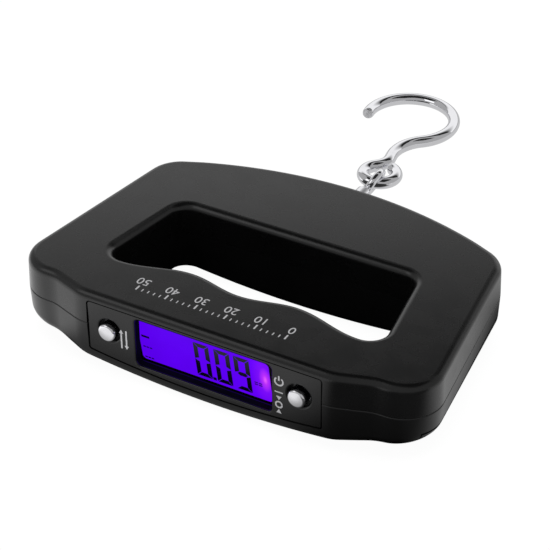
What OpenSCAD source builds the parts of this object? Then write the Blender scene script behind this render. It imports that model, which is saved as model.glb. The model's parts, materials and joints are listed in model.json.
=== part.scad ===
// Digital luggage scale with a hand window, a lit display and a swivelling hook.
// It lies on its back: the display edge faces -Y, the hook +Y, the printed face +Z.
// The origin is on the flat foot of the underside, straight below the load cell's middle.

/* [Body] */
// Width of the body between its widest points
body_w = 135; // [130:1:140]
// Thickness of the body at its middle
body_t = 25.5; // [25:0.5:27]
// Height of the line where the two shells meet
seam_z = 15; // [14:0.5:16]
// Thickness of the shell walls
wall = 2; // [1.8:0.1:2.2]
// Rounding of the top edge and of the window's rim
edge_r = 2.5; // [2:0.1:2.8]
// Radius of the crowned underside
crown_r = 340; // [320:10:400]
// How far the display section stands in front of the shoulders
brow = 3.8; // [3:0.1:4.5]

/* [Display] */
// Width of the display panel
panel_w = 76.6; // [72:0.2:77]
// Width of the opening over the display glass
view_w = 45; // [40:0.5:46]
// Height of the opening over the display glass
view_h = 16.2; // [14:0.2:17]
// Lean of the display glass, which puts its lower edge deeper
glass_tilt = 10; // [0:1:10]
// Distance of each button from the middle
button_x = 31.2; // [30:0.1:32]
// Diameter of the button caps
button_d = 5.6; // [5:0.1:6]
// Travel of the buttons
button_travel = 0.5; // [0.3:0.1:0.5]

/* [Hook] */
// Diameter of the hook's wire
hook_wire = 4; // [3.6:0.1:4.2]
// Centreline radius of the hook's bowl
bowl_r = 14.8; // [13:0.1:16]
// Distance from the hook's eye to the middle of its bowl
hook_len = 37.2; // [36:0.1:40]
// Angle of the hook from straight out, as it lies at rest
hook_rest = 11; // [0:1:20]
// Diameter of the eye bolt's ring wire
ring_wire = 2.5; // [2.3:0.1:2.6]
// Tilt of the eye bolt's ring from upright, as it lies at rest
ring_tilt = 25; // [0:1:30]

/* [Hidden] */

$fn = 48;
eps = 0.01;
gap = 0.12;              // clearance round a piece that lifts or slides in another
round_step = 20;          // degrees between points on a rounded corner
path_step = 14;           // longest straight run between outline points
bend_step = 12;           // degrees between points along the hook's wire
flat_cut = 0.35;         // depth of the flat foot cut off the crowned underside

// Outline of the body, right half, seen from above
front_y = -44.4;
shoulder_y = front_y + brow;
back_y = 45.4;
back_r = 131;            // radius of the bowed back edge
corner_x = body_w / 2 + 1.6;
back_corner = [59.6, 31.1];
front_corner_r = 11.8;
back_corner_r = 12;
brow_end_x = 41.4;
shoulder_x = 52.7;
draft = 0.25;            // lean of the upper wall

// Window for the hand, right half
window_back_y = 10.9;
window_front_y = -23.8;
window_back_x = 40.4;
window_front_x = 45.9;
finger_x = 39.5;         // centre of the outer finger hollow
crest_x = 17.4;          // crest between the finger hollows
crest_y = -19.2;
hollow_y = -22.2;        // bottom of the middle finger hollow
window_r = 5.4;

// Display edge
panel_top = body_t - 2.7;
panel_low = 3.7;
panel_bow_r = 290;
panel_y = front_y + 0.35;
panel_t = 2.8;
flange = 0.6;
flange_t = 0.8;
view_z = body_t - 11.85;
button_z = body_t - 10.8;
glass_y = panel_y + panel_t + 0.05;
glass_t = 2.2;
glass_h = 18.6;
guide_t = 2.3;
glass_lean = glass_h * tan(glass_tilt);
board_y = glass_y + glass_t + guide_t + 0.25 + glass_lean;
board_t = 1.2;
board_half = 39;
board_low = 5;
board_top = 22.6;
post_x = 37;
post_z = 9;
cap_out = 2;             // how far a button stands out of the panel
switch_w = 6;
switch_h = 3.2 + glass_lean;
plunger_d = 3.4;

// Load path
axis_z = 17.5;           // height of the eye bolt
bolt_d = 5;
cell_l = 56;
cell_w = 12;
cell_h = 9;
cell_y = 30;
cell_screw_x = 23;
gauge_x = 11;
ring_r = 4;              // centreline radius of the eye bolt's ring
ring_y = 61.9;           // middle of that ring
eye_r = 5.4;             // centreline radius of the hook's eye
eye_offset = [-0.7, 1.3]; // where the hook's eye lies from the ring's far side

// Battery bays, one in each side bar
cell_d = 10.5;
cell_len = 43.5;
nub = 1;
bay_tilt = 8;
bay_x = 53.6;
bay_y = -5.8;
bay_z = 14.4;
door_z = 8.7;
door_y = [-35.5, 23.8];
door_edge = [[50.5, -35.5], [43.6, 23.8]];
tongue = 1;
screw_spots = [[44, -34.6], [50, 28.7]];
boss_d = 6.4;
head_z = 9.5;            // height of the seats of the case screws

function perp(v) = [v[1], -v[0]] / norm(v);
function turn(v, a) = [v[0] * cos(a) - v[1] * sin(a), v[0] * sin(a) + v[1] * cos(a)];
function crown(x) = crown_r - sqrt(crown_r * crown_r - x * x) - flat_cut;

// Points of a corner rounded to radius r, between the points before and after it
function rounded(a, p, b, r) =
    let (
        u = (a - p) / norm(a - p),
        v = (b - p) / norm(b - p),
        half = acos(u * v) / 2,
        middle = p + (u + v) / norm(u + v) * r / sin(half),
        start = p + u * r / tan(half) - middle,
        sweep = (180 - 2 * half) * sign(cross(p - a, b - p)),
        n = ceil(abs(sweep) / round_step)
    )
    [for (i = [0:n]) middle + turn(start, sweep * i / n)];

// Rounds each [x, y, r] corner of an open path, where r is 0 for a plain point
function rounded_path(c) = [
    for (i = [0:len(c) - 1])
        let (p = [c[i][0], c[i][1]])
        if (i == 0 || i == len(c) - 1 || c[i][2] == 0) p
        else each rounded([c[i - 1][0], c[i - 1][1]], p, [c[i + 1][0], c[i + 1][1]], c[i][2])
];

// Closes a right half, which runs from the front centre to the back centre, by its mirror
function both_halves(h) = concat(h, [for (i = [len(h) - 2:-1:1]) [-h[i][0], h[i][1]]]);

// Splits long runs, so that a wall can follow the crown
function refined(p) = [
    for (i = [0:len(p) - 1])
        let (a = p[i], b = p[(i + 1) % len(p)], n = ceil(norm(b - a) / path_step))
        for (k = [0:n - 1]) a + (b - a) * k / n
];

// The path moved outwards by d
function grown(p, d) =
    let (n = len(p))
    [
        for (i = [0:n - 1])
            let (m = perp(p[i] - p[(i + n - 1) % n]) + perp(p[(i + 1) % n] - p[i]))
            p[i] + d * m / norm(m)
    ];

function back_arc(x) = back_y - back_r + sqrt(back_r * back_r - x * x);
function finger_edge(x) =
    x < crest_x
        ? (hollow_y + crest_y) / 2 - (crest_y - hollow_y) / 2 * cos(180 * x / crest_x)
        : (crest_y + window_front_y) / 2
            + (crest_y - window_front_y) / 2 * cos(180 * (x - crest_x) / (finger_x - crest_x));

body_path = refined(both_halves(rounded_path(concat(
    [
        [0, front_y, 0],
        [brow_end_x, front_y, 12],
        [shoulder_x, shoulder_y, 9],
        [corner_x, shoulder_y, front_corner_r],
        [back_corner[0], back_corner[1], back_corner_r]
    ],
    [for (x = [48:-8:0]) [x, back_arc(x), 0]]
))));
window_path = refined(both_halves(rounded_path(concat(
    [for (i = [0:8]) let (x = finger_x * i / 9) [x, finger_edge(x), 0]],
    [
        [finger_x - 1, window_front_y, 0],
        [window_front_x, window_front_y, window_r],
        [window_back_x, window_back_y - 1, window_r],
        [0, window_back_y, 0]
    ]
))));

// A closed solid through rings of points, with the middle point of each end
module skin(rings, ends) {
    n = len(rings[0]);
    m = len(rings);
    sides = [
        for (j = [0:m - 2])
            for (i = [0:n - 1])
                let (a = j * n + i, b = j * n + (i + 1) % n)
                each [[a, b + n, b], [a, a + n, b + n]]
    ];
    top = (m - 1) * n;
    caps = [
        for (i = [0:n - 1])
            let (next = (i + 1) % n)
            each [[i, next, m * n], [top + next, top + i, m * n + 1]]
    ];
    polyhedron(concat([for (r = rings) each r], ends), concat(sides, caps));
}

// A solid through a stack of levels, each [growth, height, 1 to follow the crown]
module loft(path, levels) {
    last = levels[len(levels) - 1];
    skin(
        [
            for (l = levels)
                [for (p = grown(path, l[0])) [p[0], p[1], l[1] + l[2] * crown(p[0])]]
        ],
        [[0, 0, levels[0][1]], [0, 0, last[1]]]
    );
}

// Everything above the crowned underside, raised by up
module above_crown(up = 0) {
    translate([0, 0, crown_r - flat_cut])
        rotate([90, 0, 0])
            cylinder(r = crown_r - up, h = 4 * body_w, center = true, $fn = 720);
}

module y_rod(d, length) {
    rotate([-90, 0, 0])
        cylinder(d = d, h = length);
}

module mirror_x() {
    children();
    mirror([1, 0, 0])
        children();
}

function unit(v) = v / norm(v);
function ahead(p, i) = let (k = max(0, min(i, len(p) - 2))) unit(p[k + 1] - p[k]);

// A round wire through a list of points that never runs straight up, with a radius at each
module wire(points, radii, sides) {
    skin(
        [
            for (i = [0:len(points) - 1])
                let (
                    way = unit(ahead(points, i - 1) + ahead(points, i)),
                    side = unit(cross(way, [0, 0, 1])),
                    up = cross(way, side),
                    mitre = 1 / (way * ahead(points, i))
                )
                [
                    for (k = [0:sides - 1])
                        let (a = 360 * k / sides)
                        points[i] + radii[i] * (cos(a) * mitre * side + sin(a) * up)
                ]
        ],
        [points[0], points[len(points) - 1]]
    );
}

module cable(points, d) {
    wire(points, [for (p = points) d / 2], 16);
}

module window_hole() {
    translate([0, 0, -5])
        linear_extrude(body_t + 10)
            polygon(window_path);
}

// Room inside the shells: between the outer wall and the window's wall
module cavity(low, high) {
    translate([0, 0, low])
        linear_extrude(high - low)
            difference() {
                polygon(grown(body_path, -wall - draft));
                polygon(grown(window_path, wall));
            }
}

module panel_shape(grow) {
    intersection() {
        translate([-panel_w / 2 - grow, -grow])
            square([panel_w + 2 * grow, panel_top + 2 * grow]);
        translate([-panel_w / 2 - grow, 0])
            square([panel_w + 2 * grow, panel_top + grow]);
        translate([0, panel_low + panel_bow_r])
            circle(r = panel_bow_r + grow, $fn = 720);
    }
}

module panel_slab(grow, y, depth) {
    translate([0, y + depth, 0])
        rotate([90, 0, 0])
            linear_extrude(depth)
                panel_shape(grow);
}

module bolt_hole() {
    translate([0, cell_y, axis_z])
        y_rod(bolt_d + 1.2, 30);
}

module front_shell() {
    color("#262628")
        difference() {
            loft(body_path, [
                [0, seam_z, 0],
                for (a = [0, 45, 90])
                    [edge_r * (cos(a) - 1) - draft, body_t - edge_r + edge_r * sin(a), 0]
            ]);
            difference() {
                cavity(seam_z - 1, body_t - wall);
                mirror_x()
                    for (s = screw_spots)
                        translate([s[0], s[1], 0])
                            cylinder(d = boss_d - 0.8, h = body_t);
            }
            mirror_x()
                for (s = screw_spots)
                    translate([s[0], s[1], seam_z - 1])
                        cylinder(d = 2.4, h = 7);
            window_hole();
            panel_slab(gap, front_y - 1, 1 + wall + 1);
            bolt_hole();
        }
}

module door_area(grow) {
    polygon([
        [door_edge[0][0] - grow, door_y[0] - grow],
        [body_w, door_y[0] - grow],
        [body_w, door_y[1] + grow],
        [door_edge[1][0] - grow, door_y[1] + grow]
    ]);
}

module door_rails(grow) {
    for (y = [door_y[0] - tongue, door_y[1]])
        translate([52 - grow, y - grow, door_z - 1.2 - grow])
            cube([body_w, tongue + 2 * grow, 1.2 + grow]);
}

module body_below_seam() {
    intersection() {
        loft(body_path, [
            [-3.6, -3, 0], [-3.6, -0.3, 1], [-1.4, 0.9, 1], [-0.3, 3, 1], [0, seam_z, 0]
        ]);
        above_crown();
        translate([0, 0, body_t])
            cube([2 * body_w, 2 * body_w, 2 * body_t], center = true);
    }
}

module bay_frame() {
    translate([bay_x, bay_y, 0])
        rotate([0, 0, bay_tilt])
            children();
}

module rear_shell() {
    rib = 1.6;
    rib_y = cell_len / 2 + nub + 2.6;
    color("#232325")
        difference() {
            union() {
                difference() {
                    body_below_seam();
                    intersection() {
                        cavity(-5, seam_z + 1);
                        above_crown(wall);
                    }
                }
                intersection() {
                    body_below_seam();
                    mirror_x() {
                        for (s = screw_spots)
                            translate([s[0], s[1], 0])
                                cylinder(d = boss_d + 2, h = seam_z);
                        bay_frame()
                            for (y = [-rib_y - rib, rib_y])
                                translate([-13, y, 0])
                                    cube([26, rib, seam_z - 0.5]);
                    }
                }
                intersection() {
                    above_crown();
                    mirror_x()
                        translate([cell_screw_x, cell_y, 0])
                            cylinder(d = 8, h = axis_z - cell_h / 2);
                }
            }
            mirror_x() {
                for (s = screw_spots) {
                    translate([s[0], s[1], -1])
                        cylinder(d = 5.6, h = head_z + 1);
                    translate([s[0], s[1], 0])
                        cylinder(d = 3.2, h = body_t);
                }
                translate([cell_screw_x, cell_y, 4])
                    cylinder(d = 2.6, h = body_t);
                translate([0, 0, -5])
                    linear_extrude(door_z + 5)
                        door_area(gap);
                door_rails(gap);
            }
            window_hole();
            panel_slab(gap, front_y - 1, 1 + wall + 1);
            bolt_hole();
        }
}

module right_battery_door() {
    color("#232325")
        difference() {
            intersection() {
                body_below_seam();
                union() {
                    translate([0, 0, -5])
                        linear_extrude(door_z - gap + 5)
                            door_area(0);
                    translate([0, 0, -gap])
                        door_rails(0);
                }
            }
            intersection() {
                translate([0, 0, -5])
                    linear_extrude(2 * body_t)
                        polygon([
                            [door_edge[0][0] + wall, door_y[0] + wall],
                            [61.5, door_y[0] + wall],
                            [55.2, door_y[1] - wall],
                            [door_edge[1][0] + wall, door_y[1] - wall]
                        ]);
                above_crown(wall);
            }
        }
}

module left_battery_door() {
    mirror([1, 0, 0])
        right_battery_door();
}

module case_screws() {
    color("#8a8d90")
        mirror_x()
            for (s = screw_spots)
                translate([s[0], s[1], 0])
                    difference() {
                        union() {
                            translate([0, 0, head_z - 2])
                                cylinder(d = 5, h = 2);
                            translate([0, 0, head_z - 1])
                                cylinder(d = 2.35, h = 11);
                        }
                        for (a = [0, 90])
                            translate([0, 0, head_z - 2])
                                rotate([0, 0, a])
                                    cube([2.8, 0.7, 1.6], center = true);
                    }
}

module display_panel() {
    color("#161618")
        difference() {
            union() {
                panel_slab(0, panel_y, panel_t);
                panel_slab(flange, panel_y + panel_t - flange_t, flange_t);
                for (x = [-post_x, post_x])
                    translate([x, panel_y + panel_t - 0.5, post_z])
                        y_rod(3.4, board_y - panel_y - panel_t + 0.5);
            }
            translate([-view_w / 2, panel_y - 1, view_z - view_h / 2])
                cube([view_w, panel_t + 2, view_h]);
            for (x = [-button_x, button_x])
                translate([x, panel_y - 1, button_z]) {
                    y_rod(button_d + 0.2, 10);
                    y_rod(7.2, 2.2);
                }
            for (x = [-post_x, post_x])
                translate([x, board_y - 4, post_z])
                    y_rod(1.5, 6);
        }
}

// Frame of the leaning glass: origin at its upper front edge, +Y into the body
module glass_frame() {
    translate([0, glass_y, view_z + glass_h / 2])
        rotate([glass_tilt, 0, 0])
            children();
}

module lcd_glass() {
    ledge = 2.6;         // strip of the front layer left bare for its contacts
    color("#5a10f0")
        glass_frame() {
            translate([-25, 0, -glass_h])
                cube([50, glass_t / 2, glass_h]);
            translate([-25, glass_t / 2, -glass_h])
                cube([50, glass_t / 2, glass_h - ledge]);
        }
}

module light_guide() {
    color("#d9d4ff")
        glass_frame()
            translate([-24, glass_t + 0.05, -glass_h + 0.3])
                cube([48, guide_t, 15.4]);
}

module backlight_led() {
    color("#f4f2ff")
        translate([24.2, board_y - 1.7, view_z - 1.5])
            cube([1.6, 1.7, 3]);
}

module lcd_connector() {
    start = glass_y + glass_t / 2 + 0.5;
    color("#c9566b")
        translate([-22, start, view_z + 7.3])
            cube([44, board_y - start, 1.5]);
}

module main_board() {
    color("#1d6b3c")
        difference() {
            translate([-board_half, board_y, board_low])
                cube([2 * board_half, board_t, board_top - board_low]);
            for (x = [-post_x, post_x])
                translate([x, board_y - 1, post_z])
                    y_rod(2.2, 4);
        }
}

module controller_chip() {
    color("#0f0f10")
        translate([0, board_y + board_t, view_z])
            rotate([-90, 0, 0]) {
                cylinder(d = 9, h = 0.6);
                translate([0, 0, 0.6])
                    cylinder(d1 = 9, d2 = 5, h = 0.9);
            }
}

module board_screws() {
    color("#b9bcc0")
        for (x = [-post_x, post_x])
            translate([x, board_y + board_t, post_z])
                difference() {
                    union() {
                        y_rod(3.8, 1.2);
                        translate([0, -4.6, 0])
                            y_rod(1.45, 5);
                    }
                    for (a = [0, 90])
                        translate([0, 1.2, 0])
                            rotate([0, a, 0])
                                cube([2.2, 1.2, 0.5], center = true);
                }
}

module button_at(x) {
    color("#d6d8da")
        translate([x, panel_y - cap_out, button_z])
            rotate([-90, 0, 0]) {
                cylinder(d1 = button_d - 1, d2 = button_d, h = 0.5);
                translate([0, 0, 0.5])
                    cylinder(d = button_d, h = cap_out + panel_t - 0.4);
                translate([0, 0, cap_out + panel_t + 0.1])
                    cylinder(d = button_d + 2, h = 0.8);
            }
}

module plunger_at(x) {
    top = panel_y + panel_t + 0.9;
    color("#101012")
        translate([x, top + 0.05, button_z])
            y_rod(plunger_d, 1.4);
}

module switch_at(x) {
    color("#3a3b3f")
        difference() {
            translate([x - switch_w / 2, board_y - switch_h, button_z - switch_w / 2])
                cube([switch_w, switch_h, switch_w]);
            translate([x, board_y - switch_h - 1, button_z])
                y_rod(plunger_d + 0.2, 3);
        }
}

module unit_button() { button_at(-button_x); }
module unit_plunger() { plunger_at(-button_x); }
module unit_switch() { switch_at(-button_x); }
module power_button() { button_at(button_x); }
module power_plunger() { plunger_at(button_x); }
module power_switch() { switch_at(button_x); }

module load_cell() {
    color("#b7babd")
        difference() {
            translate([-cell_l / 2, cell_y - cell_w / 2, axis_z - cell_h / 2])
                cube([cell_l, cell_w, cell_h]);
            translate([0, cell_y - cell_w, axis_z])
                y_rod(bolt_d + 0.3, 2 * cell_w);
            for (x = [-gauge_x, gauge_x])
                translate([x, cell_y, 0])
                    cylinder(d = cell_w - 4, h = body_t);
            for (x = [-cell_screw_x, cell_screw_x])
                translate([x, cell_y, 0])
                    cylinder(d = 3.4, h = body_t);
        }
}

module strain_gauge_at(x) {
    color("#c98a3a")
        translate([x - 3, cell_y + cell_w / 2, axis_z - 2])
            cube([6, 0.3, 4]);
}

module left_strain_gauge() { strain_gauge_at(-gauge_x); }
module right_strain_gauge() { strain_gauge_at(gauge_x); }

module load_cell_screws() {
    seat = axis_z + cell_h / 2;
    color("#8a8d90")
        for (x = [-cell_screw_x, cell_screw_x])
            translate([x, cell_y, 0])
                difference() {
                    union() {
                        translate([0, 0, seat])
                            cylinder(d = 5.6, h = 1.4);
                        translate([0, 0, seat - 15])
                            cylinder(d = 2.55, h = 15.5);
                    }
                    for (a = [0, 90])
                        translate([0, 0, seat + 1.4])
                            rotate([0, 0, a])
                                cube([3, 0.7, 1.4], center = true);
                }
}

module eye_bolt() {
    ring_outer = ring_r + ring_wire / 2;
    start = cell_y - cell_w / 2 - 7;
    color("#c8cacc")
        translate([0, 0, axis_z])
            union() {
                translate([0, start, 0])
                    y_rod(bolt_d, ring_y - ring_outer - start - 2);
                translate([0, ring_y - ring_outer - 2 - eps, 0])
                    rotate([-90, 0, 0])
                        cylinder(d1 = bolt_d, d2 = ring_wire + 0.6, h = 3);
                translate([0, ring_y, 0])
                    rotate([0, 90 + ring_tilt, 0])
                        rotate_extrude($fn = 64)
                            translate([ring_r, 0])
                                circle(d = ring_wire, $fn = 32);
            }
}

module bolt_washer() {
    color("#c8cacc")
        translate([0, cell_y - cell_w / 2 - 1.05, axis_z])
            difference() {
                y_rod(10, 1);
                translate([0, -1, 0])
                    y_rod(bolt_d + 0.3, 4);
            }
}

module bolt_nut() {
    color("#c8cacc")
        translate([0, cell_y - cell_w / 2 - 5.15, axis_z])
            rotate([-90, 0, 0])
                difference() {
                    cylinder(d = 9.2, h = 4, $fn = 6);
                    translate([0, 0, -1])
                        cylinder(d = bolt_d + 0.02, h = 6);
                }
}

// Points of an arc after its first one, in flat steps of about bend_step degrees
function arc(centre, r, from, to) =
    let (n = ceil(abs(to - from) / bend_step))
    [for (i = [1:n]) let (a = from + (to - from) * i / n) centre + r * [cos(a), sin(a), 0]];

// The hook in its own frame: eye at the origin, bowl along +Y
module hook_shape() {
    r = hook_wire / 2;
    neck_x = 0.5;
    sweep_a = 60;        // where the bowl turns into the neck
    neck_r = (bowl_r * cos(sweep_a) - neck_x) / (1 - cos(sweep_a));
    neck_y = hook_len - (bowl_r + neck_r) * sin(sweep_a);
    lead_a = 120;        // where the neck runs into the eye
    lead_r = (neck_x - eye_r * cos(lead_a)) / (1 + cos(lead_a));
    lead_y = (lead_r + eye_r) * sin(lead_a);
    tip_a = 178;
    eye_end = 405;
    tip = [bowl_r * cos(tip_a), hook_len + bowl_r * sin(tip_a), 0];
    tip_turns = [80, 55, 30];  // steps of the rounded tip, in degrees back from its end
    centreline = concat(
        [for (a = tip_turns) tip - [0, r * sin(a), 0]],
        [tip],
        arc([0, hook_len, 0], bowl_r, tip_a, -sweep_a),
        arc([neck_x + neck_r, neck_y, 0], neck_r, 180 - sweep_a, 180),
        [[neck_x, lead_y, 0]],
        arc([neck_x - lead_r, lead_y, 0], lead_r, 0, lead_a - 180),
        arc([0, 0, 0], eye_r, lead_a, eye_end)
    );
    radii = [
        for (i = [0:len(centreline) - 1])
            i < len(tip_turns) ? r * cos(tip_turns[i]) : r
    ];
    wire(centreline, radii, 20);
}

module hook() {
    color("#c8cacc")
        translate([eye_offset[0], ring_y + ring_r + eye_offset[1], axis_z])
            rotate([0, 0, hook_rest])
                hook_shape();
}

module battery() {
    translate([0, -cell_len / 2, bay_z]) {
        color("#3b6ea8")
            y_rod(cell_d, cell_len);
        color("#c8cacc")
            translate([0, cell_len, 0])
                y_rod(3.8, nub);
    }
}

// The left cell lies the other way round, so that the two are in series
module right_bay() {
    bay_frame()
        children();
}

module left_bay() {
    mirror([1, 0, 0])
        bay_frame()
            mirror([0, 1, 0])
                children();
}

module positive_contact() {
    color("#d0cfc8")
        translate([-4, cell_len / 2 + nub + 0.05, bay_z - 4]) {
            cube([8, 0.4, 8]);
            translate([1, 0, 3.6])
                cube([1.5, 2.45, 0.4]);
        }
}

module negative_contact() {
    plate_y = -cell_len / 2 - 3.5;
    color("#d0cfc8") {
        translate([-4, plate_y, bay_z - 4])
            cube([8, 0.4, 8]);
        translate([0, plate_y + 0.4, bay_z])
            rotate([-90, 0, 0])
                for (i = [0:4])
                    translate([0, 0, 0.3 + i * 0.6])
                        rotate_extrude($fn = 48)
                            translate([3 - i * 0.3, 0])
                                circle(d = 0.7, $fn = 16);
    }
}

module right_battery() { right_bay() battery(); }
module left_battery() { left_bay() battery(); }
module right_positive_contact() { right_bay() positive_contact(); }
module left_positive_contact() { left_bay() positive_contact(); }
module right_negative_contact() { right_bay() negative_contact(); }
module left_negative_contact() { left_bay() negative_contact(); }

module sensor_cable() {
    z = 21.6;
    y = cell_y + cell_w / 2 + 1.4;
    color("#c9ccd0")
        cable([
            [gauge_x, y, axis_z], [gauge_x - 5, y, z], [-30, y, z], [-46, 23, z],
            [-56, -27, z], [-44, -28, z], [-33, -29, z], [-33, board_y + board_t, z]
        ], 1.6);
}

// A battery lead runs from the front contact, over the rib, to the board
module lead_path(side) {
    z = 15.6;
    cable([
        for (p = [[56.5, -31.1], [56.5, -32.4], [51.5, -32], [44, -28.2], [35.5, -29.4],
                  [35.5, board_y + board_t]])
            [side * p[0], p[1], z]
    ], 1.2);
}

module right_battery_lead() { color("#1a1a1c") lead_path(1); }
module left_battery_lead() { color("#b3211f") lead_path(-1); }

// The lead between the two bays is soldered along the tops of their rear contacts
module battery_link_lead() {
    z = bay_z + 4.7;
    color("#e3c23a")
        cable([
            for (p = [[-47.8, 19.5], [-43, 16], [-39, 15], [39, 15], [43, 16], [47.8, 19.5]])
                [p[0], p[1], z]
        ], 1.2);
}

// Brings a sub-part from the body's own centre lines to the origin
module in_place() {
    translate([0, -cell_y, 0])
        children();
}

in_place() front_shell();
in_place() rear_shell();
in_place() case_screws();
in_place() display_panel();
in_place() lcd_glass();
in_place() light_guide();
in_place() backlight_led();
in_place() lcd_connector();
in_place() main_board();
in_place() controller_chip();
in_place() board_screws();
in_place() unit_button();
in_place() unit_plunger();
in_place() unit_switch();
in_place() power_button();
in_place() power_plunger();
in_place() power_switch();
in_place() load_cell();
in_place() left_strain_gauge();
in_place() right_strain_gauge();
in_place() load_cell_screws();
in_place() sensor_cable();
in_place() eye_bolt();
in_place() bolt_washer();
in_place() bolt_nut();
in_place() hook();
in_place() left_battery();
in_place() right_battery();
in_place() left_positive_contact();
in_place() left_negative_contact();
in_place() right_positive_contact();
in_place() right_negative_contact();
in_place() left_battery_door();
in_place() right_battery_door();
in_place() left_battery_lead();
in_place() right_battery_lead();
in_place() battery_link_lead();
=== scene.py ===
import json
import math

import bmesh
import bpy
from mathutils import Matrix, Vector


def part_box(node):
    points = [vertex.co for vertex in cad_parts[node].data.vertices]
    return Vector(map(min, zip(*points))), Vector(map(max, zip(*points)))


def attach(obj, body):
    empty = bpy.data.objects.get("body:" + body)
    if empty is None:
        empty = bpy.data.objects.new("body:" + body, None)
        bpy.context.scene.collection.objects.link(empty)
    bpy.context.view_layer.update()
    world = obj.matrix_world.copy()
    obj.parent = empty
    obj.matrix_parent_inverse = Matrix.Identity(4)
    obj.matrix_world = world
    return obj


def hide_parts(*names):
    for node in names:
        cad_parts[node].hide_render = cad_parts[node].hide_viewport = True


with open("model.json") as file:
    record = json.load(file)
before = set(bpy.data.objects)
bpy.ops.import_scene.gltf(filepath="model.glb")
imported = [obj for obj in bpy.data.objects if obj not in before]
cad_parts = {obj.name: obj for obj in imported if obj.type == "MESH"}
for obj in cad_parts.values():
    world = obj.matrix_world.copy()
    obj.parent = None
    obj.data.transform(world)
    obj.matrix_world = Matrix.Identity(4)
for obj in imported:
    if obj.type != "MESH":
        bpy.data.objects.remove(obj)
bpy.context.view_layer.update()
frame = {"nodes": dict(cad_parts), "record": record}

MM = 0.001
ARC_STEP = math.radians(4)      # turn between points on a rounded corner
WELD = 0.004 * MM               # points this close become one


def box(node):
    """Lowest and highest corner of a CAD node, in millimetres."""
    low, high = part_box(node)
    return low / MM, high / MM


# ---------------------------------------------------------------- sizes, from the frame, in mm
shell_low, shell_high = box("front_shell")
TOP, SEAM = shell_high.z, shell_low.z
FRONT, BACK, SIDE = shell_low.y, shell_high.y, shell_high.x
MID = BACK - 45.4               # the line across the body that the measures along Y start from
panel_low, panel_high = box("display_panel")
cap_low, cap_high = box("power_button")
glass_low, glass_high = box("lcd_glass")
ring_low, ring_high = box("eye_bolt")

WALL = 2.0
EDGE_R = 2.5                    # rounding of the top edge and of the window's rim
DRAFT = 0.25                    # how much narrower the body is at its top than at its seam
SEAM_LIP = ((-0.28, 0.02), (-0.1, 0.14), (0, 0.34))     # (growth, distance from the seam)
CROWN_R = 340.0                 # crown of the underside
FLAT_CUT = 0.35                 # depth of the flat foot cut off the crowned underside
BACK_R, BACK_ARC_X = 131.0, 48  # the bowed back edge and its half length
SHOULDER_Y = FRONT + 3.8
BROW_X, SHOULDER_X, CORNER_X = 41.4, 52.7, SIDE + 1.77
BROW_R, SHOULDER_R = 14, 12
FRONT_CORNER_R, BACK_CORNER_R = 11.8, 12.0
BACK_CORNER = Vector((59.6, MID + 31.1))
CLEAR = 20.0                    # how far a wide cutter runs past the body

WINDOW_BACK_Y, WINDOW_FRONT_Y = MID + 10.9, MID - 23.8
WINDOW_BACK_X, WINDOW_FRONT_X, WINDOW_R = 40.4, 45.9, 5.4
FINGER_X, CREST_X, CREST_Y, HOLLOW_Y = 39.5, 17.4, MID - 19.2, MID - 22.2
WAVE_POINTS = 40

FLANGE = 0.6                    # how far the panel's hidden rim reaches past its face
PANEL_HALF = panel_high.x - FLANGE
PANEL_TOP = TOP - 2.7
PANEL_LOW_Z, PANEL_BOW_R = 3.7, 290.0                   # the panel's bowed lower edge
PANEL_FOOT_R, PANEL_HEAD_R, BOW_SOFT_R = 0.7, 0.9, 50   # its lower, upper and bow corners
PANEL_Y = panel_low.y
PANEL_T = 2.8
VIEW_HALF, VIEW_HALF_H = 22.5, 8.1                      # the display's opening
VIEW_Z = TOP - 11.85
VIEW_CORNER_R = 1.6
LIP = 0.7                       # rounding of the mouths of the display's and buttons' openings
DISH_R = 3.7
BUTTON_X = (cap_low.x + cap_high.x) / 2
BUTTON_Z = (cap_low.z + cap_high.z) / 2
CAP_R = (cap_high.x - cap_low.x) / 2 - 1                # the cap inside its hidden flange
DOOR_Z = 8.7                    # top of the battery doors
DOOR_GAP = 0.3
DOOR_EDGE = ((50.5, MID - 35.5), (43.6, MID + 23.8))
SCREW_SPOTS = ((44, MID - 34.6), (50, MID + 28.7))
AXIS_Z = (ring_low.z + ring_high.z) / 2
HOOK_R = 2.0                    # half of the hook wire's thickness
EYE_R = 5.4
EYE = Vector((-0.7, MID + 67.2))
EYE_END = math.radians(416)     # where the wire of the eye stops
BOWL_R, HOOK_LENGTH, NECK_X = 14.8, 37.2, 0.5
RING_Y = MID + 61.9
RING_R, RING_WIRE_R, RING_TILT = 4.0, 1.25, math.radians(25)
SHANK_R = 2.5
HOOK_REST = math.radians(11)


# ---------------------------------------------------------------- outlines
def arc(centre, r, start, end, step=ARC_STEP):
    """Points of an arc after its first one."""
    n = max(1, math.ceil(abs(end - start) / step))
    turns = [start + (end - start) * i / n for i in range(1, n + 1)]
    return [Vector((centre[0] + r * math.cos(a), centre[1] + r * math.sin(a))) for a in turns]


def rounded(a, p, b, r):
    """The corner at p, between the points before and after it, rounded to radius r."""
    u, v = (a - p).normalized(), (b - p).normalized()
    half = u.angle(v) / 2
    centre = p + (u + v).normalized() * (r / math.sin(half))
    start = p + u * (r / math.tan(half)) - centre
    sweep = (math.pi - 2 * half) * math.copysign(1, (p - a).cross(b - p))
    first = math.atan2(start.y, start.x)
    return [centre + start] + arc(centre, r, first, first + sweep)


def rounded_path(corners):
    """Rounds each (x, y, r) corner of an open path."""
    spots = [Vector(c[:2]) for c in corners]
    path = []
    for i, corner in enumerate(corners):
        if corner[2] and 0 < i < len(corners) - 1:
            path += rounded(spots[i - 1], spots[i], spots[i + 1], corner[2])
        else:
            path.append(spots[i])
    return path


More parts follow.
